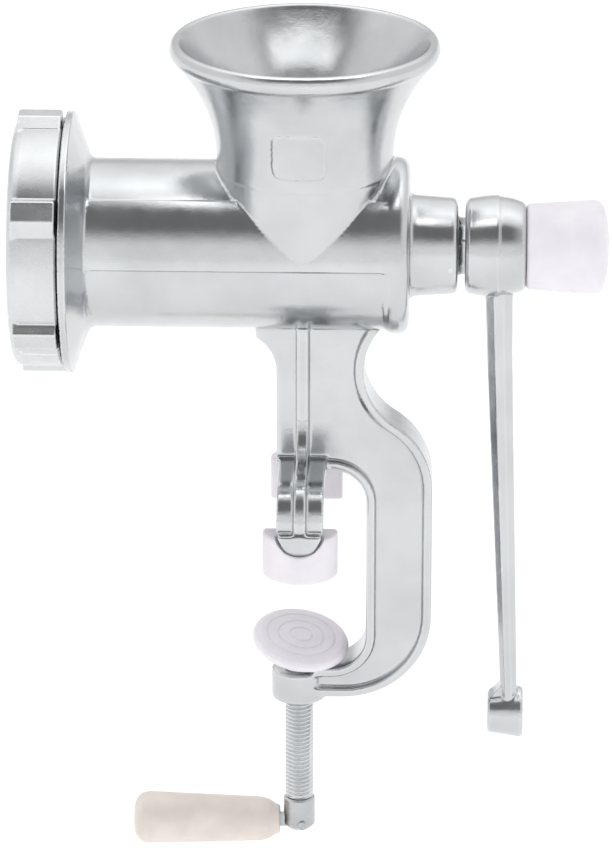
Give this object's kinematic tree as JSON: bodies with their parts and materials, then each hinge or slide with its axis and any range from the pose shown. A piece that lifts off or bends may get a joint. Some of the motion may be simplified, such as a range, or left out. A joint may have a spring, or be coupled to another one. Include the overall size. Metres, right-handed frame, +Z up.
{
  "type": "hand crank meat grinder",
  "caption": "Table-clamped hand crank meat grinder: cast body with hopper, feed screw, knife and plate behind a lugged ring, crank, thumb knob and folding clamp handle.",
  "frame": {"origin": "on the table top, midway between the two foot pads, straight below the hopper", "axes": "+X towards the crank, -X towards the plate where the meat comes out, -Y the front, +Z up"},
  "size_m": [0.2007, 0.0928, 0.2961],
  "materials": {
    "cast_aluminium": "bright tumbled casting",
    "steel": "bright zinc plated",
    "carbon_steel": "ground",
    "white_plastic": "satin",
    "grip_plastic": "satin",
    "bush_plastic": "satin"
  },
  "bodies": {
    "frame": {"body_casting": "cast_aluminium", "front_foot_pad": "white_plastic", "rear_foot_pad": "white_plastic", "bearing_bush": "bush_plastic", "plate_key_pin": "steel", "thrust_washer": "bush_plastic"},
    "feed": {"feed_screw": "cast_aluminium", "knife_stud": "steel"},
    "knife_body": {"knife": "carbon_steel"},
    "plate": {"grinder_plate": "carbon_steel"},
    "ring": {"ring_nut": "cast_aluminium"},
    "crank": {"crank_arm": "cast_aluminium"},
    "knob": {"thumb_knob": "white_plastic", "knob_stud": "steel"},
    "ferrule": {"ball_ferrule": "steel"},
    "screw": {"clamp_screw": "steel", "screw_head": "steel", "handle_pin": "steel", "ferrule_rivet": "steel"},
    "handle": {"handle_tang": "steel", "clamp_handle_grip": "grip_plastic"},
    "pad": {"clamp_pad": "white_plastic"}
  },
  "joints": [
    {"name": "crank_spin", "type": "hinge", "parent": "frame", "child": "feed", "pos_m": [0.04, 0, 0.106], "axis": [1, 0, 0], "continuous": true},
    {"name": "crank_slide", "type": "slide", "parent": "feed", "child": "crank", "axis": [1, 0, 0], "range_m": [0, 0.016]},
    {"name": "knob_spin", "type": "hinge", "parent": "crank", "child": "knob", "pos_m": [0.075, 0, 0.106], "axis": [1, 0, 0], "range_deg": [0, 4608]},
    {"name": "plate_slide", "type": "slide", "parent": "frame", "child": "plate", "axis": [-1, 0, 0], "range_m": [0, 0.014]},
    {"name": "knife_slide", "type": "slide", "parent": "feed", "child": "knife_body", "axis": [-1, 0, 0], "range_m": [0, 0.014]},
    {"name": "ring_spin", "type": "hinge", "parent": "plate", "child": "ring", "pos_m": [-0.09, 0, 0.106], "axis": [-1, 0, 0], "range_deg": [0, 2016]},
    {"name": "clamp_slide", "type": "slide", "parent": "frame", "child": "ferrule", "axis": [0, 0, 1], "range_m": [0, 0.032]},
    {"name": "screw_spin", "type": "hinge", "parent": "ferrule", "child": "screw", "pos_m": [-0.002, 0, -0.06], "axis": [0, 0, 1], "range_deg": [0, 7680]},
    {"name": "handle_fold", "type": "hinge", "parent": "screw", "child": "handle", "pos_m": [-0.0008, 0, -0.1089], "axis": [0, -1, 0], "range_deg": [0, 90]},
    {"name": "pad_tilt", "type": "hinge", "parent": "ferrule", "child": "pad", "pos_m": [-0.002, 0, -0.0428], "axis": [0, 1, 0], "range_deg": [-20, 3]}
  ],
  "couplings": [
    {"joint": "knob_spin", "follows": "crank_slide", "rad_per_m": 5026.5},
    {"joint": "knife_slide", "follows": "plate_slide", "ratio": 1},
    {"joint": "ring_spin", "follows": "plate_slide", "rad_per_m": 2513.3},
    {"joint": "screw_spin", "follows": "clamp_slide", "rad_per_m": 4188.8}
  ]
}
